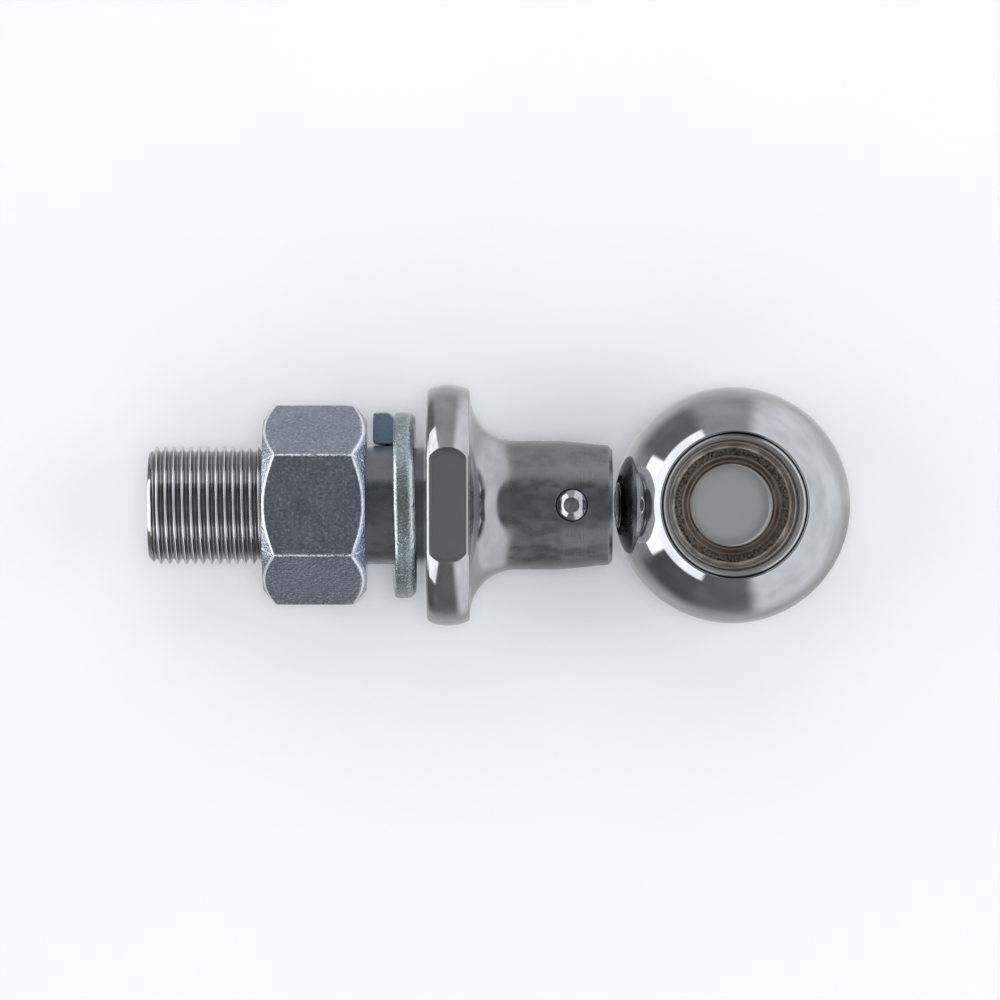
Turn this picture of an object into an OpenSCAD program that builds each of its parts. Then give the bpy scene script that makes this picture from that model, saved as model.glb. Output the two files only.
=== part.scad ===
// Interchangeable trailer hitch ball kit, laid out flat.
// A threaded shank with its nut and split lock washer lies along X, and the
// bored tow ball that fits its post stands on its foot beyond the post's end.
// Origin: centre of the collar's seat face. +X runs from the seat to the ball,
// +Z is up, out of the ball's socket. Millimetres.

/* [Threaded stud] */
// Outside diameter of the stud's thread
stud_d = 25.4; // [24:0.1:26]
// Length of the stud, from the seat face to its tip
stud_len = 59.7; // [50:0.1:90]
// Distance from one thread to the next
thread_pitch = 1.8143; // [1.5:0.0001:2.5]
// Plain length between the seat face and the first thread
stud_plain_len = 13.5; // [10:0.5:16]
// Chamfer on the stud's tip
tip_chamfer = 1.5; // [1:0.1:2.5]

/* [Collar and cove] */
// Largest diameter of the crowned collar
collar_d = 51.8; // [50:0.1:54]
// Thickness of the collar
collar_t = 9.2; // [8.6:0.1:9.6]
// Radius of the crown around the collar's rim
crown_r = 10.5; // [9:0.1:14]
// Chamfer on the rim's two edges
rim_edge = 1.2; // [0.8:0.1:1.6]
// Distance across the collar's two wrench flats
collar_flats = 46; // [45:0.1:47]
// Radius of the cove between the collar and the neck
cove_r = 10; // [9:0.1:10.1]

/* [Post] */
// Diameter of the straight neck
neck_d = 27.7; // [27.2:0.1:27.9]
// Length of the straight neck above the cove
neck_len = 9.4; // [8:0.1:10]
// Length of the tapered post above the neck
post_len = 11.2; // [11:0.1:12]
// Diameter at the end of the post
post_end_d = 25.5; // [25.2:0.1:25.7]
// Chamfer on the end of the post
post_chamfer = 0.8; // [0.5:0.1:1]

/* [Tow ball] */
// Diameter of the tow ball
ball_d = 50.8; // [50.6:0.1:51]
// Gap between the post's end and the loose ball
ball_gap = 0.4; // [0.3:0.1:5]
// Height of the flat socket rim above the ball's centre
rim_z = 19.9; // [19.5:0.1:20]
// Diameter of the socket at its rim, inside the chamfer
socket_mouth_d = 29.4; // [29.2:0.1:29.6]
// Diameter of the socket at its floor
socket_floor_d = 25.74; // [25.7:0.01:25.8]
// Diameter of the hole through the top of the ball
thumb_hole_d = 17.7; // [17:0.1:18]
// Depth of the ball's foot flat below its centre
foot_z = 23; // [22.8:0.1:23.1]

/* [Nut] */
// Distance across the nut's flats
nut_flats = 37.6; // [37.4:0.1:38.1]
// Thickness of the nut
nut_t = 22.1; // [20:0.1:22.2]
// Gap between the seat face and the near face of the nut
nut_gap = 13; // [12.9:0.1:15]
// Diameter over the nut's rounded corners
nut_corner_d = 42.9; // [42:0.1:43.1]

/* [Lock washer] */
// Outside diameter of the lock washer
washer_d = 40; // [39:0.1:41]
// Inside diameter of the lock washer
washer_hole_d = 26.4; // [26.2:0.1:27]
// Thickness of the lock washer's section
washer_t = 4.6; // [4.2:0.1:4.7]
// Distance the washer climbs from one end of its split to the other
washer_rise = 4.8; // [4.7:0.1:5]
// Width of the split, as an angle
washer_split = 7; // [4:1:12]

/* [Ball lock] */
// Diameter of the blind bore that holds the plunger
lock_bore_d = 14; // [14:0.1:14.2]
// Diameter of the locking balls
lock_ball_d = 7.938; // [7.9:0.001:7.95]
// Distance of the locking balls from the post's end
lock_ball_depth = 8.8; // [8.6:0.1:9]
// Height that a locking ball stands out of the post
lock_ball_out = 1.3; // [1.2:0.05:1.4]
// How far the plunger travels when it is pressed
plunger_travel = 5; // [4:0.5:5]
// How far a locking ball sinks for each millimetre of plunger travel
cam_slope = 0.3; // [0.28:0.01:0.3]

/* [Spring] */
// Wire diameter of the plunger's spring
spring_wire_d = 1.2; // [1:0.1:1.3]
// Mean diameter of the plunger's spring
spring_mean_d = 10.8; // [10:0.1:11.4]
// Number of turns of the plunger's spring
spring_turns = 6; // [5:1:7]

/* [Hidden] */
$fn = 96;

far = 200;                              // longer than the whole part, for cutting tools
over = 1;                               // how far a cutting tool runs past a face
joint_lap = 0.01;                       // overlap between two profiles of one piece
tool_lap = 0.001;                       // overlap between two cutting tools
slip = 0.05;                            // radial gap of a running fit
edge_bevel = 0.5;                       // small bevel on a turned edge

// Shank, along X from the stud's tip to the post's end
neck_x = collar_t + cove_r;             // start of the straight neck
taper_x = neck_x + neck_len;            // start of the taper
post_x = taper_x + post_len;            // end of the post
post_slope = (neck_d - post_end_d) / 2 / post_len;
crown_centre_r = collar_d / 2 - crown_r;
flat_reach = 3;                         // how far the wrench flats run on into the cove

// Thread form: 60 degree flanks, crest an eighth and root a quarter of the pitch
thread_depth = 0.6134 * thread_pitch;
thread_count = floor((stud_len - stud_plain_len - tip_chamfer) / thread_pitch);
crest_w = thread_pitch / 8;
root_w = thread_pitch / 4;

// Locking balls
lock_x = post_x - lock_ball_depth;
post_r_at_lock = neck_d / 2 - (lock_x - taper_x) * post_slope;
lock_centre_r = post_r_at_lock + lock_ball_out - lock_ball_d / 2;
lock_lip_rise = 1.95;                   // from the ball's centre out to the lip that keeps it in
lock_lip_step = 0.94;                   // how much narrower the hole is beyond the lip
lock_lip_r = lock_centre_r + lock_lip_rise;
lock_lip_d = lock_ball_d - lock_lip_step;
lock_hole_len = 20;                     // longer than the wall that the hole goes through
lock_angles = [0, 120, 240];            // from +Z, towards +Y

// Plunger, along X from the bore's floor to the button
bore_floor_x = 8;
piston_gap = 0.07;                      // radial gap around the piston
piston_r = lock_bore_d / 2 - piston_gap;
piston_x = 22;                          // back face of the piston
cam_lead = 0.6;                         // length of full piston past the locking balls' centres
cam_x = lock_x - cam_lead;              // where the cone starts
cam_end_x = 35.2;
stem_r = 5.4;
button_x = post_x - 0.2;                // face of the button, just inside the post's end
button_dish_r = 14;                     // radius of the dished button
button_dish_depth = 0.6;
o_ring_wire_d = 2;
o_ring_x = 26;
o_ring_groove_r = piston_r - o_ring_wire_d;
o_ring_play = 0.1;                      // gap on each side of the ring in its groove
o_ring_clearance = 0.02;                // gap under the ring

// Retaining ring in its groove near the post's end
ring_x = 35.6;
ring_t = 1.1;
ring_groove_r = lock_bore_d / 2 + 1;
ring_stem_gap = 0.25;                   // radial gap between the ring and the stem
ring_hole_r = stem_r + ring_stem_gap;
ring_play = 0.1;                        // room for the ring in its groove
ring_gap = 3;                           // opening between the ring's two ends
plier_hole_r = 0.6;
plier_angle = 24;                       // from the middle of the gap to a plier hole

// Loose tow ball
ball_r = ball_d / 2;
ball_x = post_x + ball_gap + ball_r;
socket_floor_z = -0.3;
ledge_r = 11.8;                         // inner edge of the flat ledge at the socket's floor
hole_top_z = -2;                        // where the conical step meets the thumb hole
rim_chamfer = 0.9;
foot_chamfer = 0.5;
lock_groove_play = 0.13;                // gap between a locking ball and its groove

// Turns a shape made about Z so that its axis lies along X
module along_x() {
    rotate([0, 90, 0]) children();
}

// Places a radial hole or ball at the given angle around the post
module at_lock(angle) {
    translate([lock_x, 0, 0]) rotate([-angle, 0, 0]) children();
}

// Outline of one side of the shank: [radius, distance along the axis]
function thread_groove(x) = [
    [stud_d / 2, x - (thread_pitch - crest_w) / 2],
    [stud_d / 2 - thread_depth, x - root_w / 2],
    [stud_d / 2 - thread_depth, x + root_w / 2],
    [stud_d / 2, x + (thread_pitch - crest_w) / 2]
];

function stud_outline() = concat(
    [[0, -stud_len], [stud_d / 2 - tip_chamfer, -stud_len], [stud_d / 2, -stud_len + tip_chamfer]],
    [for (i = [0 : thread_count - 1],
          p = thread_groove(-stud_plain_len - (thread_count - i - 0.5) * thread_pitch)) p],
    [[stud_d / 2, 1], [0, 1]]
);

module collar_profile() {
    edge_r = crown_centre_r + sqrt(crown_r ^ 2 - (collar_t / 2 - rim_edge) ^ 2);
    intersection() {
        polygon([[0, 0], [edge_r - rim_edge, 0], [edge_r, rim_edge], [collar_d, rim_edge],
                 [collar_d, collar_t - rim_edge], [edge_r, collar_t - rim_edge],
                 [edge_r - rim_edge, collar_t], [0, collar_t]]);
        union() {
            translate([crown_centre_r, collar_t / 2]) circle(r = crown_r);
            square([crown_centre_r, collar_t]);
        }
    }
}

module cove_profile() {
    difference() {
        translate([0, collar_t - joint_lap]) square([neck_d / 2 + cove_r, cove_r + joint_lap]);
        translate([neck_d / 2 + cove_r, neck_x]) circle(r = cove_r);
    }
}

module post_profile() {
    polygon([[0, collar_t], [neck_d / 2, collar_t], [neck_d / 2, taper_x],
             [post_end_d / 2 + post_chamfer * post_slope, post_x - post_chamfer],
             [post_end_d / 2 - post_chamfer, post_x], [0, post_x]]);
}

module lock_hole() {
    cylinder(d = lock_ball_d + 2 * slip, h = lock_lip_r);
    cylinder(d = lock_lip_d, h = lock_hole_len);
}

// Forged shank: threaded stud, collar, cove, neck and tapered post in one piece
module shank() {
    color("silver") difference() {
        along_x() union() {
            rotate_extrude() polygon(stud_outline());
            rotate_extrude() collar_profile();
            rotate_extrude() cove_profile();
            rotate_extrude() post_profile();
        }
        for (side = [-1, 1])
            translate([-over, -far / 2, side > 0 ? collar_flats / 2 : -collar_flats / 2 - far])
                cube([collar_t + over + flat_reach, far, far]);
        translate([bore_floor_x, 0, 0]) along_x() cylinder(d = lock_bore_d, h = far);
        translate([ring_x, 0, 0]) along_x() cylinder(r = ring_groove_r, h = ring_t + ring_play);
        for (angle = lock_angles) at_lock(angle) lock_hole();
    }
}

// Hex nut: a six-sided bar cut back to a chamfered round at both ends
nut_face_inset = 0.45;                  // end face's circle, inside the flats
nut_chamfer = 40;                       // angle of the corner chamfer

module hex_nut() {
    nut_x = -nut_gap - nut_t;
    face_r = nut_flats / 2 - nut_face_inset;
    chamfer_h = (nut_corner_d / 2 - face_r) * tan(nut_chamfer);
    bore_r = stud_d / 2 + slip;
    lead_in = 1;
    color("lightsteelblue") translate([nut_x, 0, 0]) along_x() difference() {
        intersection() {
            rotate(30) cylinder(r = nut_flats / 2 / cos(30), h = nut_t, $fn = 6);
            rotate_extrude() polygon([
                [0, 0], [face_r, 0], [nut_corner_d / 2, chamfer_h],
                [nut_corner_d / 2, nut_t - chamfer_h], [face_r, nut_t], [0, nut_t]]);
        }
        rotate_extrude() polygon([
            [0, -lead_in], [bore_r + 2 * lead_in, -lead_in], [bore_r, lead_in], [bore_r, nut_t - lead_in],
            [bore_r + 2 * lead_in, nut_t + lead_in], [0, nut_t + lead_in]]);
    }
}

// Split lock washer: one turn of a square-section helix, hanging a little askew
washer_x = -4.6;                        // middle of the section at the split's near end
washer_lean = 2.4;                      // how far its lower side hangs towards the collar
washer_steps = 72;
washer_edge = 0.5;                      // bevel on the section's four edges

function washer_axis_x(a) = washer_x - washer_rise * a / 360 + washer_lean * (1 - cos(a)) / 2;

function washer_section() =
    let (r0 = washer_hole_d / 2, r1 = washer_d / 2, h = washer_t / 2, e = washer_edge)
    [[r0, -h + e], [r0 + e, -h], [r1 - e, -h], [r1, -h + e],
     [r1, h - e], [r1 - e, h], [r0 + e, h], [r0, h - e]];

function washer_points() = [
    for (i = [0 : washer_steps], p = washer_section())
        let (a = washer_split / 2 + (360 - washer_split) * i / washer_steps)
        [washer_axis_x(a) + p[1], p[0] * cos(a), p[0] * sin(a)]
];

// Side faces of a tube of rings, and its two end caps
function sweep_faces(rings, sides) = concat(
    [[for (j = [0 : sides - 1]) j]],
    [for (i = [0 : rings - 2], j = [0 : sides - 1])
        let (a = i * sides + j, b = i * sides + (j + 1) % sides)
        [a, a + sides, b + sides, b]],
    [[for (j = [0 : sides - 1]) (rings - 1) * sides + sides - 1 - j]]
);

module lock_washer() {
    color("lightblue") polyhedron(washer_points(), sweep_faces(washer_steps + 1, 8), convexity = 6);
}

// Tow ball, standing on its foot with its tapered socket facing up
module tow_ball() {
    color("gainsboro") translate([ball_x, 0, 0]) difference() {
        intersection() {
            sphere(r = ball_r, $fn = 128);
            translate([-ball_r, -ball_r, -foot_z]) cube([ball_d, ball_d, foot_z + rim_z]);
        }
        rotate_extrude() polygon([
            [0, socket_floor_z], [socket_floor_d / 2, socket_floor_z], [socket_floor_d / 2, 0],
            [socket_mouth_d / 2, rim_z - rim_chamfer],
            [socket_mouth_d / 2 + rim_chamfer, rim_z], [socket_mouth_d / 2 + rim_chamfer, far], [0, far]]);
        rotate_extrude() translate([lock_centre_r, lock_ball_depth])
            circle(r = lock_ball_d / 2 + lock_groove_play);
        translate([0, 0, hole_top_z])
            cylinder(r1 = thumb_hole_d / 2, r2 = ledge_r, h = socket_floor_z - hole_top_z + tool_lap);
        translate([0, 0, -far]) cylinder(d = thumb_hole_d, h = far);
        translate([0, 0, -foot_z - over])
            cylinder(r1 = thumb_hole_d / 2 + foot_chamfer + over, r2 = thumb_hole_d / 2,
                     h = foot_chamfer + over);
    }
}

// Plunger: piston, cam cone and stem, with a dished button
module plunger() {
    cam_end_r = piston_r - cam_slope * (cam_end_x - cam_x);
    color("dimgray") along_x() difference() {
        rotate_extrude() polygon([
            [0, piston_x], [piston_r - edge_bevel, piston_x], [piston_r, piston_x + edge_bevel],
            [piston_r, cam_x], [cam_end_r, cam_end_x], [stem_r, cam_end_x],
            [stem_r, button_x - edge_bevel], [stem_r - edge_bevel, button_x], [0, button_x]]);
        translate([0, 0, o_ring_x - o_ring_wire_d / 2 - o_ring_play]) difference() {
            cylinder(r = lock_bore_d, h = o_ring_wire_d + 2 * o_ring_play);
            cylinder(r = o_ring_groove_r - o_ring_clearance, h = o_ring_wire_d + 2 * o_ring_play);
        }
        translate([0, 0, button_x + button_dish_r - button_dish_depth]) sphere(r = button_dish_r);
    }
}

module plunger_o_ring() {
    color("black") translate([o_ring_x, 0, 0]) along_x()
        rotate_extrude() translate([o_ring_groove_r + o_ring_wire_d / 2, 0]) circle(d = o_ring_wire_d);
}

// Compression spring between the bore's floor and the piston
spring_steps = 18;                      // rings in each turn
spring_sides = 8;

function spring_points() =
    let (r = spring_wire_d / 2, rings = spring_turns * spring_steps,
         x0 = bore_floor_x + r + slip, x1 = piston_x - r - slip)
    [for (i = [0 : rings], j = [0 : spring_sides - 1])
        let (a = 360 * i / spring_steps, b = 360 * j / spring_sides, rr = spring_mean_d / 2 + r * cos(b))
        [x0 + (x1 - x0) * i / rings + r * sin(b), rr * cos(a), rr * sin(a)]];

module plunger_spring() {
    color("slategray")
        polyhedron(spring_points(), sweep_faces(spring_turns * spring_steps + 1, spring_sides),
                   convexity = 8);
}

// Internal retaining ring with a gap and two plier holes
module retaining_ring() {
    mean_r = (ring_groove_r + ring_hole_r) / 2;
    color("darkslategray") translate([ring_x + ring_play / 2, 0, 0]) along_x() difference() {
        cylinder(r = ring_groove_r - ring_play, h = ring_t);
        translate([0, 0, -over]) cylinder(r = ring_hole_r, h = ring_t + 2 * over);
        translate([0, -ring_gap / 2, -over]) cube([far, ring_gap, ring_t + 2 * over]);
        for (side = [-1, 1])
            rotate(side * plier_angle) translate([mean_r, 0, -over])
                cylinder(r = plier_hole_r, h = ring_t + 2 * over);
    }
}

module locking_ball(angle) {
    color("whitesmoke") at_lock(angle) translate([0, 0, lock_centre_r]) sphere(d = lock_ball_d);
}

shank();
hex_nut();
lock_washer();
tow_ball();
plunger();
plunger_o_ring();
plunger_spring();
retaining_ring();
locking_ball(lock_angles[0]);  // locking_ball_1
locking_ball(lock_angles[1]);  // locking_ball_2
locking_ball(lock_angles[2]);  // locking_ball_3
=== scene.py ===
from math import asin, atan2, ceil, cos, degrees, hypot, pi, radians, sin, sqrt, tan

import bmesh
import bpy
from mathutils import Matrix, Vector


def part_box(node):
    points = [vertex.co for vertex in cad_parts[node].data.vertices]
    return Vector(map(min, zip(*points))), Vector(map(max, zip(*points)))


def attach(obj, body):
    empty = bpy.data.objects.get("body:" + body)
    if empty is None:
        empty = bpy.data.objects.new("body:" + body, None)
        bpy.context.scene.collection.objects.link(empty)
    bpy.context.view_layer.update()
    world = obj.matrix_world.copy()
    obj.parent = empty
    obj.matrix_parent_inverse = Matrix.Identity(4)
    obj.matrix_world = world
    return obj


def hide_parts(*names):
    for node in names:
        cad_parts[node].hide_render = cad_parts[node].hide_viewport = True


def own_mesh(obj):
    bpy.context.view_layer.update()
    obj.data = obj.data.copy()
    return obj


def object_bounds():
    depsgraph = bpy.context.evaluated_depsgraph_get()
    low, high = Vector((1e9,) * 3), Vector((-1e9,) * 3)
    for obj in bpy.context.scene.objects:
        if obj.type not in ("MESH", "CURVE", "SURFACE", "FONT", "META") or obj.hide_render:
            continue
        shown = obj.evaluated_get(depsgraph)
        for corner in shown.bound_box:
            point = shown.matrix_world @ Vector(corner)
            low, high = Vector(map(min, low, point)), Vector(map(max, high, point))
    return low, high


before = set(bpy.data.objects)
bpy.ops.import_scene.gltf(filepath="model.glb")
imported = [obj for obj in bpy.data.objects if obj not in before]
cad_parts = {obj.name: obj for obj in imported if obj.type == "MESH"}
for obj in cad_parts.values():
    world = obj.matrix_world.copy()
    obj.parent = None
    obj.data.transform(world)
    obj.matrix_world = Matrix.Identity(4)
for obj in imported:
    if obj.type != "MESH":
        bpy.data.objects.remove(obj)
cad_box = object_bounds()

MM = 0.001
TURN = 2 * pi


# ---------------------------------------------------------------- places, in millimetres, from the frame

def extent(node):
    """Lowest and highest corners of a CAD node, in millimetres."""
    low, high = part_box(node)
    return [v / MM for v in low], [v / MM for v in high]


shank_low, shank_high = extent("shank")
nut_low, nut_high = extent("hex_nut")
ball_low, ball_high = extent("tow_ball")
lock_low, lock_high = extent("locking_ball_1")
ring_low, ring_high = extent("retaining_ring")
plunger_low, plunger_high = extent("plunger")
o_ring_low, o_ring_high = extent("plunger_o_ring")
spring_low, spring_high = extent("plunger_spring")

STUD_TIP = shank_low[0]                       # the stud's free end
POST_END = shank_high[0]                      # the tapered post's end
COLLAR_R = shank_high[1]                      # widest radius of the crowned collar
COLLAR_FLAT = shank_high[2]                   # each wrench flat's distance from the axis
STUD_R = 12.7
THREAD_PITCH = 1.8143
THREAD_DEPTH = 0.6134 * THREAD_PITCH
THREAD_STOP = -13.5                           # where the thread has run out
COLLAR_T = 9.2
CROWN_R = 10.5                                # radius of the crown around the collar's rim
COVE_R = 10.0
NECK_R = 13.85
NECK_START = COLLAR_T + COVE_R
TAPER_START = POST_END - 11.2
POST_END_R = 12.75
LOCK_BORE_R = 7.0
BORE_FLOOR = 8.0

BALL_R = ball_high[1]
BALL_X = (ball_high[0] + ball_low[0]) / 2
FOOT_Z = ball_low[2]
RIM_Z = ball_high[2]

LOCK_R = (lock_high[0] - lock_low[0]) / 2
LOCK_X = (lock_high[0] + lock_low[0]) / 2
LOCK_OUT = (lock_high[2] + lock_low[2]) / 2   # distance of a locking ball's centre from the axis
LOCK_ANGLES = (0, 120, 240)                   # from +Z, towards +Y
LOCK_LIP_RISE = 1.95                          # from a ball's centre out to the lip that keeps it in

SOCKET_FLOOR = -0.3
SOCKET_FLOOR_R = 12.87
SOCKET_MOUTH_R = 14.7
RIM_CHAMFER = 0.9
LEDGE_R = 11.8
HOLE_TOP = -2.0
THUMB_R = 8.85
LOCK_GROOVE_Z = POST_END - LOCK_X             # depth of the locking balls from the post's end
LOCK_GROOVE_R = LOCK_R + 0.13

NUT_FACE_R = nut_high[2] - 0.45               # where the nut's chamfer meets each face
NUT_CHAMFER = radians(40)

WASHER_START = -4.6                           # middle of the section at the split's near end
WASHER_RISE = 4.8
WASHER_LEAN = 2.4                             # how far the lower side hangs towards the collar
WASHER_SPLIT = radians(7)
WASHER_HOLE_R, WASHER_R, WASHER_HALF_T = 13.2, 20.0, 2.3


# ---------------------------------------------------------------- outlines

def arc(centre, radius, start, stop, steps):
    """Points on a circle between two angles in degrees."""
    angles = [radians(start + (stop - start) * i / steps) for i in range(steps + 1)]
    return [(centre[0] + radius * cos(a), centre[1] + radius * sin(a)) for a in angles]


def fillet(before, corner, after, radius, steps=5):
    """The rounded stand-in for one corner of an outline."""
    a = Vector(before) - Vector(corner)
    b = Vector(after) - Vector(corner)
    reach = 0.49 * min(a.length, b.length)
    a.normalize()
    b.normalize()
    half = a.angle(b) / 2
    if half > radians(88):
        return [corner]
    cut = min(radius / tan(half), reach)
    radius = cut * tan(half)
    middle = Vector(corner) + (a + b).normalized() * radius / sin(half)
    first = (Vector(corner) + a * cut - middle).normalized()
    last = (Vector(corner) + b * cut - middle).normalized()
    return [tuple(middle + first.slerp(last, i / steps) * radius) for i in range(steps + 1)]


def rounded(corners, loop=False):
    """Points of an outline given as (along, radius, fillet) corners."""
    points = []
    count = len(corners)
    for i, (along, radius, size) in enumerate(corners):
        ends = not loop and i in (0, count - 1)
        if size == 0 or ends:
            points.append((along, radius))
            continue
        before = corners[i - 1][:2]
        after = corners[(i + 1) % count][:2]
        points += fillet(before, (along, radius), after, size)
    return points


def fine(points, step, loop=False):
    """The same outline with no piece longer than step."""
    result = []
    pairs = list(zip(points, points[1:] + points[:1]))
    for a, b in (pairs if loop else pairs[:-1]):
        parts = max(1, ceil(hypot(b[0] - a[0], b[1] - a[1]) / step))
        result += [(a[0] + (b[0] - a[0]) * k / parts, a[1] + (b[1] - a[1]) * k / parts)
                   for k in range(parts)]
    return result if loop else result + [points[-1]]


def soft_min(a, b, blend):
    """The smaller of two values, with a smooth change between them."""
    h = max(blend - abs(a - b), 0) / blend
    return min(a, b) - h * h * blend / 4


# ---------------------------------------------------------------- meshes

def about_x(along, radius, angle):
    return along, radius * cos(angle), radius * sin(angle)


def about_ball(along, radius, angle):
    return BALL_X + radius * cos(angle), radius * sin(angle), along


def finish_mesh(name, bm, crease=35):
    """Turns a bmesh in millimetres into a smooth-shaded object in metres."""
    bmesh.ops.remove_doubles(bm, verts=bm.verts, dist=0.0005)
    bmesh.ops.dissolve_degenerate(bm, edges=bm.edges, dist=0.0003)
    bmesh.ops.recalc_face_normals(bm, faces=bm.faces)
    for face in bm.faces:
        face.smooth = True
    for edge in bm.edges:
        edge.smooth = len(edge.link_faces) == 2 and edge.calc_face_angle(0) < radians(crease)
    bmesh.ops.scale(bm, vec=(MM, MM, MM), verts=bm.verts)
    mesh = bpy.data.meshes.new(name)
    bm.to_mesh(mesh)
    bm.free()
    piece = bpy.data.objects.new(name, mesh)
    bpy.context.scene.collection.objects.link(piece)
    return piece


def turned(name, outline, segments, place=about_x, shape=None, loop=False, crease=35):
    """A turned piece. shape(along, radius, angle) may change the radius around each ring."""
    bm = bmesh.new()
    rings = []
    for along, radius in outline:
        if radius < 1e-6:
            rings.append([bm.verts.new(place(along, 0, 0))] * segments)
            continue
        ring = []
        for j in range(segments):
            angle = TURN * j / segments
            r = shape(along, radius, angle) if shape else radius
            ring.append(bm.verts.new(place(along, r, angle)))
        rings.append(ring)
    if loop:
        rings.append(rings[0])
    for a, b in zip(rings, rings[1:]):
        for j in range(segments):
            k = (j + 1) % segments
            corners = list(dict.fromkeys([a[j], a[k], b[k], b[j]]))
            if len(corners) > 2:
                bm.faces.new(corners)
    return finish_mesh(name, bm, crease)


def swept(name, sections, crease=35):
    """A closed piece through a row of sections that all have the same number of points."""
    bm = bmesh.new()
    rings = [[bm.verts.new(p) for p in section] for section in sections]
    for a, b in zip(rings, rings[1:]):
        for j in range(len(a)):
            k = (j + 1) % len(a)
            bm.faces.new([a[j], a[k], b[k], b[j]])
    bm.faces.new(rings[0])
    bm.faces.new(list(reversed(rings[-1])))
    return finish_mesh(name, bm, crease)


def cut(piece, cutter):
    """Takes one closed mesh out of another and deletes the cutter."""
    modifier = piece.modifiers.new("cut", "BOOLEAN")
    modifier.operation = "DIFFERENCE"
    modifier.solver = "EXACT"
    modifier.object = cutter
    bpy.context.view_layer.update()
    result = bpy.data.meshes.new_from_object(piece.evaluated_get(bpy.context.evaluated_depsgraph_get()))
    piece.modifiers.remove(modifier)
    old = piece.data
    piece.data = result
    bpy.data.meshes.remove(old)
    bpy.data.objects.remove(cutter)


# ---------------------------------------------------------------- node helpers

class Shader:
    """Short calls for building one node tree."""

    def __init__(self, tree):
        self.tree = tree
        tree.nodes.clear()

    def node(self, kind, **settings):
        node = self.tree.nodes.new(kind)
        for key, value in settings.items():
            setattr(node, key, value)
        return node

    def put(self, socket, value):
        if isinstance(value, bpy.types.NodeSocket):
            self.tree.links.new(value, socket)
        else:
            socket.default_value = value

    def math(self, operation, a, b=0.0, clamp=False):
        node = self.node("ShaderNodeMath", operation=operation, use_clamp=clamp)
        self.put(node.inputs[0], a)
        self.put(node.inputs[1], b)
        return node.outputs[0]

    def smooth(self, value, low, high, to_low=0.0, to_high=1.0):
        node = self.node("ShaderNodeMapRange", interpolation_type="SMOOTHSTEP")
        for socket, v in zip(node.inputs[:5], (value, low, high, to_low, to_high)):
            self.put(socket, v)
        return node.outputs[0]

    def mix(self, amount, a, b, blend="MIX"):
        node = self.node("ShaderNodeMix", data_type="RGBA", blend_type=blend)
        self.put(node.inputs["Factor"], amount)
        self.put(node.inputs[6], a)
        self.put(node.inputs[7], b)
        return node.outputs[2]

    def split(self, vector):
        node = self.node("ShaderNodeSeparateXYZ")
        self.put(node.inputs[0], vector)
        return node.outputs

    def millimetres(self):
        """Place on the object, in millimetres of the frame."""
        coords = self.node("ShaderNodeTexCoord")
        scale = self.node("ShaderNodeVectorMath", operation="SCALE")
        self.put(scale.inputs[0], coords.outputs["Object"])
        self.put(scale.inputs["Scale"], 1 / MM)
        return scale.outputs[0]

    def noise(self, vector, size, detail=3.0, stretch=(1, 1, 1)):
        """Noise from 0 to 1 whose blotches are about size millimetres across."""
        mapping = self.node("ShaderNodeMapping")
        self.put(mapping.inputs["Vector"], vector)
        self.put(mapping.inputs["Scale"], tuple(1 / s for s in stretch))
        node = self.node("ShaderNodeTexNoise")
        self.put(node.inputs["Vector"], mapping.outputs[0])
        self.put(node.inputs["Scale"], 1 / size)
        self.put(node.inputs["Detail"], detail)
        return node.outputs["Fac"]

    def specks(self, vector, size, amount):
        """Scattered small dots, 1 on a dot and 0 between."""
        node = self.node("ShaderNodeTexVoronoi")
        self.put(node.inputs["Vector"], vector)
        self.put(node.inputs["Scale"], 1 / size)
        return self.smooth(node.outputs["Distance"], amount, amount * 0.4)

    def bump(self, height, distance, strength=1.0):
        node = self.node("ShaderNodeBump")
        self.put(node.inputs["Height"], height)
        self.put(node.inputs["Distance"], distance * MM)
        self.put(node.inputs["Strength"], strength)
        return node.outputs[0]

    def metal(self, colour, roughness, normal=None, metallic=1.0):
        shader = self.node("ShaderNodeBsdfPrincipled")
        self.put(shader.inputs["Base Color"], colour)
        self.put(shader.inputs["Roughness"], roughness)
        self.put(shader.inputs["Metallic"], metallic)
        if normal is not None:
            self.put(shader.inputs["Normal"], normal)
        output = self.node("ShaderNodeOutputMaterial")
        self.put(output.inputs["Surface"], shader.outputs[0])
        return shader


def grey(value, blue=0.0, warm=0.0):
    return value * (1 + warm), value, value * (1 + blue), 1.0


def new_material(name):
    material = bpy.data.materials.new(name)
    material.use_nodes = True
    return material, Shader(material.node_tree)


# ---------------------------------------------------------------- materials

def chrome_material():
    """Mirror chrome with faint polishing haze, pin specks and hairline scratches."""
    material, s = new_material("polished_chrome")
    place = s.millimetres()
    haze = s.noise(place, 9.0, 4.0)
    hairlines = s.noise(place, 0.9, 5.0, stretch=(1, 14, 6))
    marks = s.smooth(hairlines, 0.66, 0.74)
    specks = s.specks(place, 1.6, 0.05)
    plate = s.mix(haze, (0.51, 0.53, 0.565, 1), (0.56, 0.575, 0.61, 1))
    colour = s.mix(s.math("MULTIPLY", specks, 0.35), plate, grey(0.35))
    rough = s.math("ADD", s.smooth(haze, 0.3, 0.8, 0.03, 0.08), s.math("MULTIPLY", marks, 0.10))
    height = s.math("ADD", s.math("MULTIPLY", haze, 0.6), s.math("MULTIPLY", hairlines, 0.02))
    s.metal(colour, rough, s.bump(height, 0.02, 0.25))
    return material


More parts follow.
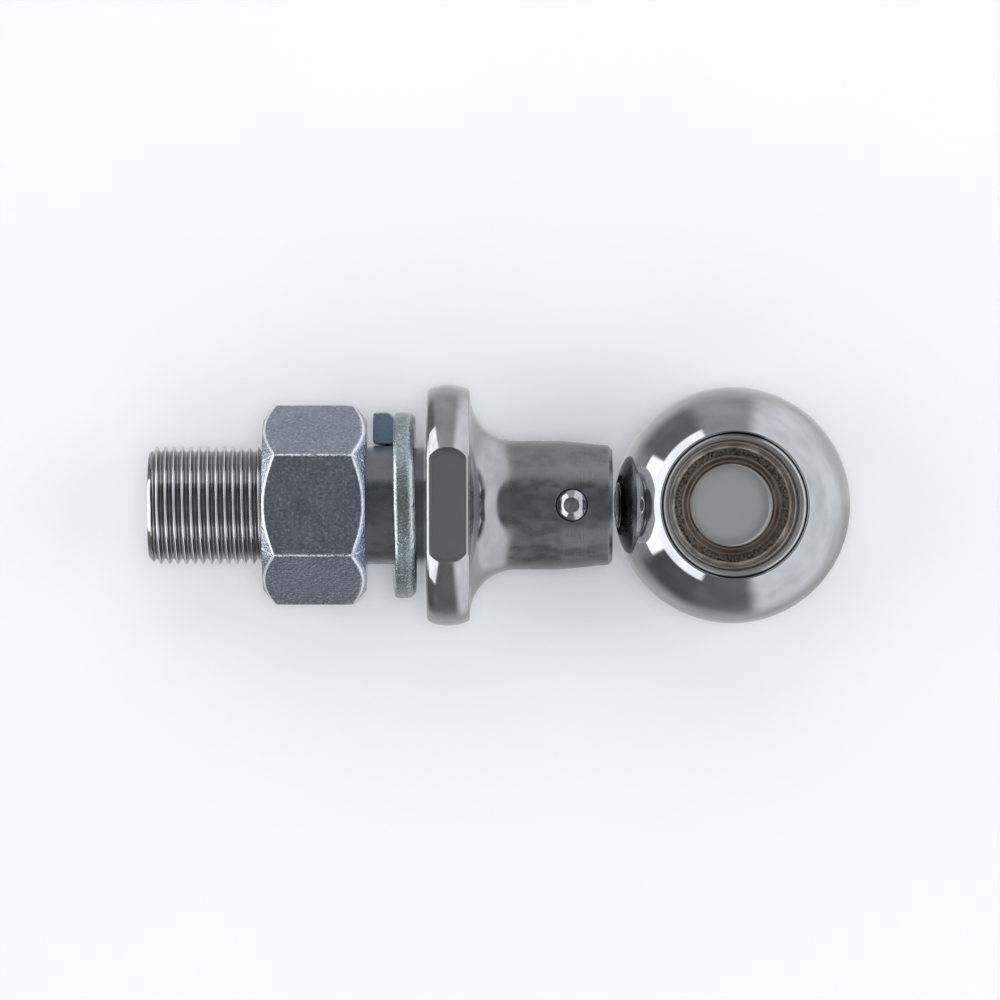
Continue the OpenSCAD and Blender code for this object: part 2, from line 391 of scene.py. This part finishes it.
def socket_material():
    """Machined bore of the ball, coloured by distance from its axis.

    From the mouth inwards: a black line, a satin grey wall, a tan band lightened by a painted
    highlight, dark specks, then brown and copper rings.
    """
    material, s = new_material("machined_socket")
    place = s.millimetres()
    x, y, z = s.split(place)
    across = s.math("SUBTRACT", x, BALL_X)
    radius = s.math("SQRT", s.math("ADD", s.math("MULTIPLY", across, across), s.math("MULTIPLY", y, y)))
    rings = s.noise(place, 0.45, 3.0, stretch=(300, 300, 1))
    grain = s.noise(place, 0.5, 4.0)
    blotch = s.noise(place, 4.0, 4.0)
    brown = s.mix(s.smooth(blotch, 0.35, 0.65), (0.16, 0.14, 0.12, 1), (0.38, 0.33, 0.28, 1))
    copper = s.math("MAXIMUM", close_to(s, radius, 9.5, 0.25), close_to(s, radius, 10.5, 0.3))
    colour = s.mix(s.math("MULTIPLY", copper, 0.8), brown, (0.85, 0.60, 0.44, 1))
    specks = s.mix(s.smooth(grain, 0.36, 0.60), (0.10, 0.09, 0.08, 1), (0.36, 0.31, 0.26, 1))
    colour = s.mix(s.smooth(radius, 10.7, 10.9), colour, specks)
    # The tan band's blotched light colour is partly its own tan and partly a painted highlight.
    on_tan_highlight_band = s.math("MULTIPLY", s.smooth(radius, 12.1, 12.5), s.smooth(radius, 13.7, 13.3))
    tan_band_with_painted_highlight = s.mix(s.smooth(blotch, 0.35, 0.65), (0.48, 0.42, 0.36, 1), (0.92, 0.86, 0.77, 1))
    satin = s.mix(blotch, (0.44, 0.45, 0.48, 1), (0.58, 0.59, 0.63, 1))
    colour = s.mix(s.smooth(radius, 13.2, 13.6), colour, satin)
    colour = s.mix(on_tan_highlight_band, colour, tan_band_with_painted_highlight)
    dark_rings = s.math("MULTIPLY", s.smooth(rings, 0.44, 0.38), 0.4)
    colour = s.mix(dark_rings, colour, (0.12, 0.11, 0.10, 1))
    mouth = s.smooth(radius, SOCKET_MOUTH_R + 0.3, SOCKET_MOUTH_R + 0.5)
    colour = s.mix(mouth, colour, (0.02, 0.02, 0.02, 1))
    rough = s.smooth(rings, 0.3, 0.7, 0.22, 0.38)
    polish = s.math("SUBTRACT", 1.0, s.math("MULTIPLY", on_tan_highlight_band, 0.22))
    s.metal(colour, rough, s.bump(rings, 0.10, 0.7), polish)
    return material


def zinc_finish(s, place, dark, light, roughness, grain, highlight_and_rubs):
    """Zinc plate on shader s: sparkling grain over slow blotches, painted whitish and less metallic where
    highlight_and_rubs is 1: painted highlights, and on the washer also rubbed patches.
    """
    blotch = s.noise(place, 6.0, 4.0)
    fine_grain = s.noise(place, grain, 4.0)
    colour = s.mix(s.smooth(blotch, 0.3, 0.7), dark, light)
    sparkle = s.math("MULTIPLY", s.smooth(fine_grain, 0.54, 0.66), 0.45)
    colour = s.mix(sparkle, colour, (0.76, 0.86, 0.96, 1))
    pits = s.smooth(fine_grain, 0.44, 0.34)
    colour = s.mix(s.math("MULTIPLY", pits, 0.35), colour, grey(0.15, 0.10))
    # Painted highlight: whitish colour where highlight_and_rubs is high, which on the washer also whitens
    # rubbed patches.
    colour = s.mix(highlight_and_rubs, colour, (0.86, 0.91, 0.95, 1))
    rough = s.math("SUBTRACT", s.smooth(fine_grain, 0.3, 0.7, roughness - 0.06, roughness + 0.06),
                   s.math("MULTIPLY", highlight_and_rubs, 0.12), clamp=True)
    height = s.math("ADD", fine_grain, s.math("MULTIPLY", blotch, 0.5))
    highlight_metallic = s.math("SUBTRACT", 1.0, s.math("MULTIPLY", highlight_and_rubs, 0.45))
    s.metal(colour, rough, s.bump(height, 0.20, 0.9), highlight_metallic)


def close_to(s, value, target, reach):
    """1 where value is at target, falling to 0 at reach to either side."""
    return s.smooth(s.math("ABSOLUTE", s.math("SUBTRACT", value, target)), reach, 0.3 * reach)


def nut_material():
    """Zinc-plated nut with painted highlights along its hexagon edges and chamfer edges."""
    material, s = new_material("zinc_nut")
    place = s.millimetres()
    x, y, z = s.split(place)
    radius = s.math("SQRT", s.math("ADD", s.math("MULTIPLY", y, y), s.math("MULTIPLY", z, z)))
    sixth = s.math("DIVIDE", s.math("ARCTAN2", y, z), TURN / 6)
    off_middle = s.math("SUBTRACT", sixth, s.math("ROUND", sixth))
    angle = s.math("MULTIPLY", off_middle, TURN / 6)
    on_flat = close_to(s, s.math("MULTIPLY", radius, s.math("COSINE", angle)), nut_high[2], 0.45)
    hex_edge_highlight = s.smooth(s.math("ABSOLUTE", off_middle), 0.485, 0.496)
    rise = tan(NUT_CHAMFER)
    left_cone = s.math("ADD", s.math("DIVIDE", s.math("SUBTRACT", x, nut_low[0]), rise), NUT_FACE_R)
    right_cone = s.math("ADD", s.math("DIVIDE", s.math("SUBTRACT", nut_high[0], x), rise), NUT_FACE_R)
    chamfer_edge_highlight = s.math("MAXIMUM", close_to(s, s.math("SUBTRACT", left_cone, radius), 0.1, 0.30),
                      close_to(s, s.math("SUBTRACT", right_cone, radius), 0.2, 0.50))
    broken = s.smooth(s.noise(place, 0.8, 4.0), 0.36, 0.56)
    # Painted highlights: whitish lines along the chamfer edges on each flat and, broken up, along the
    # hexagon edges.
    highlight_and_rubs = s.math("MAXIMUM", s.math("MULTIPLY", on_flat, chamfer_edge_highlight), s.math("MULTIPLY", hex_edge_highlight, broken))
    zinc_finish(s, place, (0.38, 0.44, 0.54, 1), (0.45, 0.52, 0.62, 1), 0.22, 0.60, highlight_and_rubs)
    return material


def washer_material():
    """Zinc-plated spring steel, bluer than the nut, with painted highlights along both outer corners and
    scattered rubbed patches.
    """
    material, s = new_material("zinc_washer")
    place = s.millimetres()
    x, y, z = s.split(place)
    back = s.math("ARCTAN2", s.math("MULTIPLY", z, -1), s.math("MULTIPLY", y, -1))
    angle = s.math("ADD", back, pi)
    climb = s.math("MULTIPLY", angle, WASHER_RISE / TURN)
    lean = s.math("MULTIPLY", s.math("SUBTRACT", 1, s.math("COSINE", angle)), WASHER_LEAN / 2)
    offset = s.math("SUBTRACT", s.math("ADD", s.math("SUBTRACT", x, WASHER_START), climb), lean)
    middle = s.smooth(s.math("ABSOLUTE", y), 12.0, 8.0)
    patchy = s.smooth(s.noise(place, 0.7, 4.0), 0.30, 0.50)
    # Painted highlights on the two outer corners, kept to the band near y = 0.
    nut_side_corner_highlight = s.math("MULTIPLY", close_to(s, offset, -1.9, 0.5), patchy)
    collar_side_corner_highlight = s.math("MULTIPLY", s.smooth(offset, 0.7, 1.6), s.math("MULTIPLY", patchy, 0.8))
    corners = s.math("MULTIPLY", s.math("MAXIMUM", nut_side_corner_highlight, collar_side_corner_highlight), middle)
    rubs = s.math("MULTIPLY", s.smooth(s.noise(place, 1.8, 5.0), 0.58, 0.70), 0.4)
    zinc_finish(s, place, (0.40, 0.49, 0.54, 1), (0.50, 0.59, 0.64, 1), 0.20, 0.45,
                s.math("MAXIMUM", corners, rubs))
    return material


def sheared_material():
    """The washer's two sheared ends: blue-tinted plate over a torn grain."""
    material, s = new_material("zinc_sheared")
    place = s.millimetres()
    tears = s.noise(place, 0.5, 4.0, stretch=(1, 1, 4))
    colour = s.mix(tears, (0.34, 0.50, 0.66, 1), (0.60, 0.80, 0.95, 1))
    s.metal(colour, s.smooth(tears, 0.3, 0.7, 0.30, 0.45), s.bump(tears, 0.10, 0.7))
    return material


def shank_material():
    """Plated forging: polished collar and cove, mottled neck and post, duller stud whose crests carry a
    painted highlight.
    """
    material, s = new_material("plated_forging")
    place = s.millimetres()
    x, y, z = s.split(place)
    radius = s.math("SQRT", s.math("ADD", s.math("MULTIPLY", y, y), s.math("MULTIPLY", z, z)))
    blotch = s.noise(place, 6.0, 5.0)
    stain = s.noise(place, 2.2, 6.0, stretch=(2, 1, 1))
    fine_grain = s.noise(place, 0.35, 3.0)
    lathe = s.noise(place, 0.30, 2.0, stretch=(1, 60, 60))
    on_stud = s.smooth(x, -0.2, -0.9)
    on_thread = s.smooth(x, THREAD_STOP, THREAD_STOP - 1)
    on_cove = s.smooth(x, COLLAR_T - 0.1, COLLAR_T + 0.3)
    on_post = s.smooth(x, NECK_START - 5.0, NECK_START + 0.5)
    on_taper = s.smooth(x, TAPER_START - 0.1, TAPER_START + 0.1)
    colour = s.mix(blotch, (0.48, 0.49, 0.51, 1), (0.56, 0.57, 0.60, 1))
    colour = s.mix(s.math("MULTIPLY", on_cove, 0.16), colour, grey(0.0))
    colour = s.mix(on_post, colour, s.mix(stain, (0.25, 0.25, 0.26, 1), (0.44, 0.45, 0.47, 1)))
    colour = s.mix(on_taper, colour, s.mix(stain, (0.22, 0.225, 0.24, 1), (0.40, 0.41, 0.44, 1)))
    colour = s.mix(on_stud, colour, s.mix(stain, (0.22, 0.24, 0.265, 1), (0.38, 0.41, 0.45, 1)))
    colour = s.mix(on_thread, colour, s.mix(blotch, (0.36, 0.38, 0.40, 1), (0.48, 0.50, 0.52, 1)))
    # Painted highlight: the thread's crests are lightened to near white.
    crest_highlight = s.math("MULTIPLY", s.smooth(radius, STUD_R - 0.30, STUD_R - 0.04), on_thread)
    colour = s.mix(s.math("MULTIPLY", crest_highlight, 0.9), colour, grey(0.88, 0.02))
    rough = s.math("ADD", s.smooth(blotch, 0.3, 0.7, 0.05, 0.10), s.math("MULTIPLY", on_cove, 0.04))
    satin = s.smooth(stain, 0.35, 0.65, 0.14, 0.30)
    dull = s.math("MULTIPLY", s.math("MAXIMUM", on_post, on_stud), s.math("SUBTRACT", 1.0, on_thread))
    rough = s.math("ADD", rough, s.math("MULTIPLY", satin, dull))
    height = s.math("MULTIPLY", s.math("ADD", lathe, s.math("MULTIPLY", fine_grain, 0.6)),
                    s.math("ADD", dull, 0.06))
    s.metal(colour, rough, s.bump(height, 0.03, 0.6))
    return material


def steel_material(name, colour, roughness):
    """Turned or drawn small steel parts: fine lathe rings and a slow tint change."""
    material, s = new_material(name)
    place = s.millimetres()
    blotch = s.noise(place, 2.0, 4.0)
    lathe = s.noise(place, 0.2, 2.0, stretch=(1, 40, 40))
    shade = s.mix(blotch, tuple(0.8 * c for c in colour[:3]) + (1,), colour)
    rough = s.smooth(lathe, 0.3, 0.7, roughness * 0.75, roughness * 1.25)
    s.metal(shade, rough, s.bump(lathe, 0.02, 0.5))
    return material


def rubber_material():
    material, s = new_material("seal_rubber")
    place = s.millimetres()
    grain = s.noise(place, 0.25, 4.0)
    s.metal(s.mix(grain, grey(0.015), grey(0.035)), s.smooth(grain, 0.3, 0.7, 0.5, 0.7),
            s.bump(grain, 0.02, 0.5), 0.0)
    return material


def floor_material():
    material, s = new_material("pale_floor")
    place = s.millimetres()
    cloud = s.noise(place, 60.0, 3.0)
    tooth = s.noise(place, 0.8, 3.0)
    colour = s.mix(cloud, (0.74, 0.765, 0.80, 1), (0.77, 0.795, 0.83, 1))
    s.metal(colour, s.smooth(tooth, 0.3, 0.7, 0.60, 0.72), s.bump(tooth, 0.03, 0.2), 0.0)
    return material


# ---------------------------------------------------------------- shank

def thread_cut(x, angle):
    """Depth of the right-hand thread's groove at one place: straight flanks, rounded crest and root."""
    phase = abs((x / THREAD_PITCH - angle / TURN) % 1.0 - 0.5)
    root_half, crest_half = 1 / 8, 1 / 16
    flank = (0.5 - crest_half - phase) / (0.5 - crest_half - root_half)
    return THREAD_DEPTH * -soft_min(-soft_min(flank, 1, 0.35), 0, 0.16)


def stud_shape(x, radius, angle):
    if radius < STUD_R - THREAD_DEPTH or x > THREAD_STOP:
        return radius
    run_out = min(1, (THREAD_STOP - x) / (1.2 * THREAD_PITCH))
    return min(radius, STUD_R - run_out * thread_cut(x, angle))


def make_stud():
    """The threaded stud, with a true helical thread that runs out towards the collar."""
    chamfer = 1.5
    rings_per_turn = 20
    step = THREAD_PITCH / rings_per_turn
    threaded = fine([(STUD_TIP + chamfer, STUD_R), (THREAD_STOP, STUD_R)], step)
    start = rounded([(STUD_TIP, 0, 0), (STUD_TIP, STUD_R - chamfer, 0.2), (STUD_TIP + chamfer, STUD_R, 0)])
    plain = fine([(THREAD_STOP, STUD_R), (1, STUD_R)], 0.5)
    outline = fine(start, step * 2)[:-1] + threaded + plain[1:] + [(1, 0)]
    return turned("stud", outline, 144, shape=stud_shape, crease=70)


def flat_radius(x, angle):
    """Distance from the axis to the nearer wrench flat, whose two long edges are rounded off."""
    edge_round = 1.1
    upright = abs(sin(angle))
    if upright < 0.5:
        return 10 * COLLAR_R
    past = max(0, edge_round - min(x, COLLAR_T - x))
    drop = edge_round - sqrt(edge_round ** 2 - min(past, edge_round) ** 2)
    return (COLLAR_FLAT - drop) / upright


def collar_shape(x, radius, angle):
    if radius < NECK_R + 4:
        return radius
    return soft_min(radius, flat_radius(x, angle), 0.30)


def make_post():
    """Collar, cove, neck and tapered post, with the plunger's bore and the locking balls' holes."""
    cove = arc((NECK_START, NECK_R + COVE_R), COVE_R, 180, 270, 40)
    edge_angle = degrees(asin(COLLAR_T / 2 / CROWN_R))
    crown = arc((COLLAR_T / 2, COLLAR_R - CROWN_R), CROWN_R, 90 + edge_angle, 90 - edge_angle, 24)
    rim_round = 1.6
    rim = [p for p in crown if rim_round * 0.9 < p[0] < COLLAR_T - rim_round * 0.9]
    outline = [(0, 0), (0, STUD_R)]
    outline += fillet((0, STUD_R), crown[0], rim[0], rim_round, 8) + rim
    outline += fillet(rim[-1], crown[-1], (COLLAR_T, NECK_R + COVE_R - 0.2), rim_round, 8)
    outline += cove
    outline += [(TAPER_START, NECK_R)]
    outline += rounded([(TAPER_START, NECK_R, 0), (POST_END - 0.8, POST_END_R + 0.08, 0.25),
                        (POST_END, POST_END_R - 0.8, 0.2), (POST_END, LOCK_BORE_R + 0.4, 0.1),
                        (POST_END - 0.4, LOCK_BORE_R, 0.1), (ring_high[0], LOCK_BORE_R, 0)])[1:]
    outline += [(ring_high[0], LOCK_BORE_R + 1), (ring_low[0], LOCK_BORE_R + 1), (ring_low[0], LOCK_BORE_R),
                (BORE_FLOOR, LOCK_BORE_R), (BORE_FLOOR, 0)]
    post = turned("post", fine(outline, 0.45), 320, shape=collar_shape, crease=40)
    for angle in LOCK_ANGLES:
        cut(post, lock_hole_cutter(radians(angle)))
    return post


def lock_hole_cutter(angle):
    """A stepped plug: the locking ball's hole with the narrower lip that keeps the ball in."""
    lip = LOCK_OUT + LOCK_LIP_RISE
    outward = Vector((0, sin(angle), cos(angle)))
    across = Vector((1, 0, 0))
    up = outward.cross(across)

    def place(along, radius, turn):
        return Vector((LOCK_X, 0, 0)) + outward * along + (across * cos(turn) + up * sin(turn)) * radius

    hole_r = LOCK_R + 0.05
    lip_r = LOCK_R - 0.47
    start, end = 2, 16                        # from inside the plunger's bore to outside the post
    outline = [(start, 0), (start, hole_r), (lip - 0.4, hole_r), (lip, lip_r), (end, lip_r), (end, 0)]
    return turned("cutter", outline, 64, place=place)


# ---------------------------------------------------------------- nut and washer

def hex_radius(angle, half_flats):
    """Distance from the axis to the side of a hexagon whose flats face +Z and -Z."""
    sixth = TURN / 6
    turn = (angle - TURN / 4 + sixth / 2) % sixth - sixth / 2
    return half_flats / cos(turn)


def make_nut():
    """Hex nut with chamfered ends, worn edges and an internal thread."""
    half_flats, corner_r = nut_high[2], nut_high[1]
    left, right = nut_low[0], nut_high[0]
    chamfer = (corner_r - NUT_FACE_R) * tan(NUT_CHAMFER)
    bore_r = STUD_R + 0.05
    lead_in = 1
    crisp, worn = 0.20, 1.10                  # softness of the edges at the stud's and the collar's end
    step = 0.25

    def shape(x, radius, angle):
        if radius < bore_r + 0.01:
            return radius + 0.55 * thread_cut(x, angle)
        if radius < NUT_FACE_R - 1:
            return radius
        towards_collar = min(1, max(0, (x - right + 5) / 3))
        return soft_min(radius, hex_radius(angle, half_flats), crisp + (worn - crisp) * towards_collar)

    outside = rounded([(left + lead_in, bore_r, 0), (left, bore_r + lead_in, 0.15),
                       (left, NUT_FACE_R, 0.25), (left + chamfer, corner_r, 0.6),
                       (right - chamfer, corner_r, 0.8), (right, NUT_FACE_R, 0.35),
                       (right, bore_r + lead_in, 0.15), (right - lead_in, bore_r, 0)])
    rings = []
    for a, b in zip(outside, outside[1:]):
        rings += fine([a, b], step)[:-1]
    rings += fine([(right - lead_in, bore_r), (left + lead_in, bore_r)], step)[:-1]
    return turned("nut", rings, 360, shape=shape, loop=True, crease=50)


def washer_ring(angle, inset):
    """The washer's rounded section at one angle, drawn in by inset."""
    x = WASHER_START - WASHER_RISE * angle / TURN + WASHER_LEAN * (1 - cos(angle)) / 2
    half_t = WASHER_HALF_T - inset
    inner, outer = WASHER_HOLE_R + inset, WASHER_R - inset
    crisp, worn = 0.7, 1.9
    section = rounded([(-half_t, inner, crisp), (half_t, inner, crisp),
                       (half_t, outer, worn), (-half_t, outer, crisp)], loop=True)
    return [(x + along, r * cos(angle), r * sin(angle)) for along, r in section]


def make_washer():
    """Split lock washer: one turn of a helix that hangs a little askew, with sheared ends."""
    steps = 200
    end_round = 0.25
    first, last = WASHER_SPLIT / 2, TURN - WASHER_SPLIT / 2
    turn_in = end_round / WASHER_R
    rings = [washer_ring(first, end_round), washer_ring(first + turn_in * 0.3, end_round * 0.3)]
    rings += [washer_ring(first + turn_in + (last - first - 2 * turn_in) * i / steps, 0)
              for i in range(steps + 1)]
    rings += [washer_ring(last - turn_in * 0.3, end_round * 0.3), washer_ring(last, end_round)]
    return swept("lock_washer_ring", rings, crease=40)


# ---------------------------------------------------------------- tow ball

def socket_radius(z):
    return SOCKET_FLOOR_R + (SOCKET_MOUTH_R - SOCKET_FLOOR_R) * z / (RIM_Z - RIM_CHAMFER)


def groove_points():
    """The locking groove: the part of a circle that lies outside the socket's taper."""
    steps = 24
    points = arc((LOCK_GROOVE_Z, LOCK_OUT), LOCK_GROOVE_R, 0, 180, steps * 4)
    return [p for p in points if p[1] > socket_radius(p[0]) + 0.02]


def make_ball_shell():
    """The ball's polished outside, from the foot to the rim, closed by the socket and thumb hole."""
    foot_r = sqrt(BALL_R ** 2 - FOOT_Z ** 2)
    rim_r = sqrt(BALL_R ** 2 - RIM_Z ** 2)
    edge_room = 0.9                           # degrees of the sphere left for each rounded edge
    past_groove = 3                           # from the groove's middle to plain wall on either side
    foot_chamfer = 0.5
    foot_angle = degrees(atan2(foot_r, FOOT_Z)) - edge_room
    rim_angle = degrees(atan2(rim_r, RIM_Z)) + edge_room
    sphere = arc((0, 0), BALL_R, foot_angle, rim_angle, 150)
    outline = fillet((FOOT_Z, foot_r - 1), (FOOT_Z, foot_r), sphere[0], 0.4)
    outline += sphere
    outline += fillet(sphere[-1], (RIM_Z, rim_r - 0.02), (RIM_Z - RIM_CHAMFER, SOCKET_MOUTH_R), 0.25)
    outline += rounded([(RIM_Z, rim_r - 0.1, 0), (RIM_Z - RIM_CHAMFER, SOCKET_MOUTH_R, 0.3),
                        (LOCK_GROOVE_Z + past_groove, socket_radius(LOCK_GROOVE_Z + past_groove), 0)])[1:-1]
    outline += groove_points()
    outline += rounded([(LOCK_GROOVE_Z - past_groove, socket_radius(LOCK_GROOVE_Z - past_groove), 0),
                        (SOCKET_FLOOR, SOCKET_FLOOR_R, 0.4), (SOCKET_FLOOR, LEDGE_R, 0.2),
                        (HOLE_TOP, THUMB_R, 0.4), (FOOT_Z + foot_chamfer, THUMB_R, 0.15),
                        (FOOT_Z, THUMB_R + foot_chamfer, 0.15), (FOOT_Z, foot_r - 0.6, 0)])[1:]
    return turned("ball", fine(outline, 0.5, loop=True), 288, place=about_ball, loop=True, crease=45)


# ---------------------------------------------------------------- ball lock

def make_plunger():
    """Plunger with its piston, cam cone, stem and dished button."""
    cam_start = LOCK_X - 0.6
    cam_end = 35.2
    cam_slope = 0.3
    piston_r = 6.93
    stem_r = 5.4
    groove_r = 4.95
    groove_play = 0.1
    dish_depth = 0.6
    back = plunger_low[0]
    button = plunger_high[0]
    groove_start = o_ring_low[0] - groove_play
    groove_end = o_ring_high[0] + groove_play
    corners = [(back, 0, 0), (back, piston_r, 0.5), (groove_start, piston_r, 0.1),
               (groove_start, groove_r, 0.1), (groove_end, groove_r, 0.1),
               (groove_end, piston_r, 0.1), (cam_start, piston_r, 0.3),
               (cam_end, piston_r - cam_slope * (cam_end - cam_start), 0.1), (cam_end, stem_r, 0.05),
               (button, stem_r, 0.4), (button, stem_r - 1.3, 0.3), (button - 0.5, 2.5, 1.0),
               (button - dish_depth, 0, 0)]
    return turned("plunger_body", fine(rounded(corners), 0.6), 96)


def make_o_ring():
    middle_x = (o_ring_low[0] + o_ring_high[0]) / 2
    wire_r = (o_ring_high[0] - o_ring_low[0]) / 2
    mean_r = o_ring_high[2] - wire_r
    return turned("o_ring", arc((middle_x, mean_r), wire_r, 0, 345, 23), 96, loop=True)


def make_spring():
    """Compression spring between the bore's floor and the plunger's piston."""
    turns, steps, sides = 6, 36, 12
    wire_r = 0.6
    mean_r = spring_high[1] - wire_r
    first, last = spring_low[0] + wire_r, spring_high[0] - wire_r
    sections = []
    for i in range(turns * steps + 1):
        x = first + (last - first) * i / (turns * steps)
        wire = arc((x, mean_r), wire_r, 0, 360 * (sides - 1) / sides, sides - 1)
        sections.append([about_x(along, radius, TURN * i / steps) for along, radius in wire])
    return swept("coil_spring", sections)


def make_lock_ball(number, angle):
    """A locking ball as a cube pushed out to a sphere, which spreads its faces evenly."""
    bm = bmesh.new()
    bmesh.ops.create_cube(bm, size=2)
    bmesh.ops.subdivide_edges(bm, edges=bm.edges, cuts=20, use_grid_fill=True)
    centre = Vector((LOCK_X, LOCK_OUT * sin(angle), LOCK_OUT * cos(angle)))
    for vert in bm.verts:
        vert.co = centre + vert.co.normalized() * LOCK_R
    return finish_mesh(f"lock_ball_{number}", bm)


# ---------------------------------------------------------------- stage

CAMERA_HEIGHT = 1.5
CAMERA_PLACE = (0.0157, 0.0011)
CAMERA_LENS = 251


def make_camera():
    data = bpy.data.cameras.new("camera")
    data.lens = CAMERA_LENS
    data.sensor_width = 36
    data.clip_end = 20
    camera = bpy.data.objects.new("camera", data)
    camera.location = (*CAMERA_PLACE, CAMERA_HEIGHT)
    bpy.context.scene.collection.objects.link(camera)
    bpy.context.scene.camera = camera


def make_floor(material):
    half = 3.0
    level = cad_box[0][2]
    bm = bmesh.new()
    corners = [(-half, -half), (half, -half), (half, half), (-half, half)]
    bm.faces.new([bm.verts.new((x, y, level)) for x, y in corners])
    mesh = bpy.data.meshes.new("floor")
    bm.to_mesh(mesh)
    bm.free()
    mesh.materials.append(material)
    floor = bpy.data.objects.new("floor", mesh)
    floor.visible_glossy = False
    bpy.context.scene.collection.objects.link(floor)


def soft_light(name, place, size, power):
    """A square soft light that points at the origin. The metals reflect the studio instead of it."""
    data = bpy.data.lights.new(name, "AREA")
    data.energy = power
    data.size = size
    light = bpy.data.objects.new(name, data)
    light.location = place
    light.rotation_euler = (-Vector(place)).to_track_quat("-Z", "Y").to_euler()
    light.visible_glossy = False
    bpy.context.scene.collection.objects.link(light)


def studio_world():
    """Soft studio surroundings by direction: a pale wall at +X, greyer sides, two softboxes at -X.

    The floor is left out of reflections, so the part below the horizon is painted here too.
    """
    world = bpy.data.worlds.new("studio")
    world.use_nodes = True
    bpy.context.scene.world = world
    s = Shader(world.node_tree)
    direction = s.node("ShaderNodeTexCoord").outputs["Generated"]
    x, y, z = s.split(direction)
    turn = s.math("DEGREES", s.math("ARCTAN2", s.math("ABSOLUTE", y), x))
    near = s.smooth(y, 0.03, -0.03)

    colour = s.mix(s.smooth(turn, 70, 82), grey(0.95, 0.02), s.mix(near, grey(0.45), grey(0.20)))
    colour = s.mix(s.smooth(turn, 106, 118), colour, s.mix(near, grey(0.20), grey(0.13)))
    colour = s.mix(s.smooth(turn, 143, 153), colour, grey(0.35))
    colour = s.mix(s.smooth(z, -0.50, -0.85), colour, s.mix(near, grey(0.62), grey(0.50)))
    patches = s.smooth(s.noise(direction, 0.60, 1.0), 0.25, 0.75, 0.15, 0.30)
    ceiling = s.mix(s.smooth(y, 0.30, 0.50), s.mix(patches, grey(0.0), grey(1.0)), grey(0.13))
    colour = s.mix(s.smooth(z, 0.60, 0.70), colour, ceiling)

    upper_box = s.math("MULTIPLY", s.smooth(turn, 110, 114),
                       s.math("MULTIPLY", s.smooth(z, 0.03, 0.07), s.smooth(z, 0.63, 0.57)))
    colour = s.mix(upper_box, colour, grey(1.6))
    lower_box = s.math("MULTIPLY", s.smooth(turn, 146, 150),
                       s.math("MULTIPLY", s.smooth(z, -0.29, -0.25), s.smooth(z, 0.07, 0.03)))
    colour = s.mix(lower_box, colour, grey(2.5))
    clouds = s.smooth(s.noise(direction, 0.45, 2.5), 0.25, 0.75, 0.85, 1.15)
    colour = s.mix(1.0, colour, clouds, blend="MULTIPLY")

    background = s.node("ShaderNodeBackground")
    s.put(background.inputs["Color"], colour)
    s.put(background.inputs["Strength"], 1.0)
    output = s.node("ShaderNodeOutputWorld")
    s.put(output.inputs["Surface"], background.outputs[0])


# ---------------------------------------------------------------- putting it together

def dress(piece, body, material, replaces=None):
    piece.data.materials.clear()
    piece.data.materials.append(material)
    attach(piece, body)
    if replaces:
        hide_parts(replaces)


def dress_node(node, material):
    """Gives a CAD node that is shown as it is its material."""
    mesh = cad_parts[node].data
    mesh.materials.clear()
    mesh.materials.append(material)


def socket_faces(piece, material):
    """Gives the ball's bore its own material: every face inside the rim's flat and above the foot."""
    piece.data.materials.append(material)
    bore_r = SOCKET_MOUTH_R + RIM_CHAMFER - 0.1
    for polygon in piece.data.polygons:
        x, y, z = (v / MM for v in polygon.center)
        if hypot(x - BALL_X, y) < bore_r and FOOT_Z + 0.3 < z < RIM_Z - 0.02:
            polygon.material_index = 1


def sheared_ends(piece, material):
    """Gives the washer's two end faces their own material: they are its only many-sided faces."""
    piece.data.materials.append(material)
    for polygon in piece.data.polygons:
        if len(polygon.vertices) > 4:
            polygon.material_index = 1
            polygon.use_smooth = False


chrome = chrome_material()
plated = shank_material()

stud = make_stud()
dress(stud, "shank_assembly", plated)
post = make_post()
dress(post, "shank_assembly", plated, "shank")

nut = make_nut()
dress(nut, "hex_nut", nut_material(), "hex_nut")
washer = make_washer()
dress(washer, "lock_washer", washer_material(), "lock_washer")
sheared_ends(washer, sheared_material())

ball = make_ball_shell()
dress(ball, "tow_ball", chrome, "tow_ball")
socket_faces(ball, socket_material())

turned_steel = steel_material("turned_steel", (0.62, 0.61, 0.60, 1), 0.25)
dress(make_plunger(), "plunger", turned_steel, "plunger")
dress(make_o_ring(), "plunger", rubber_material(), "plunger_o_ring")
for number, angle in enumerate(LOCK_ANGLES, start=1):
    dress(make_lock_ball(number, radians(angle)), f"locking_ball_{number}", chrome,
          f"locking_ball_{number}")

spring = make_spring()
dress(spring, "shank_assembly", steel_material("spring_wire", (0.36, 0.37, 0.39, 1), 0.30),
      "plunger_spring")
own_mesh(spring)

dress_node("retaining_ring", steel_material("ring_steel", (0.45, 0.45, 0.46, 1), 0.35))

make_camera()
make_floor(floor_material())
studio_world()
soft_light("fill_right", (1.1, 0.0, 1.1), 1.0, 6)
soft_light("fill_left", (-1.1, 0.0, 1.1), 1.0, 4)
soft_light("fill_far", (0.0, 1.1, 1.1), 1.0, 5)
soft_light("fill_near", (0.0, -1.1, 1.1), 1.0, 3)
soft_light("overhead", (0.06, 0.0, 1.8), 0.4, 10)
bpy.context.scene.view_settings.view_transform = "Standard"
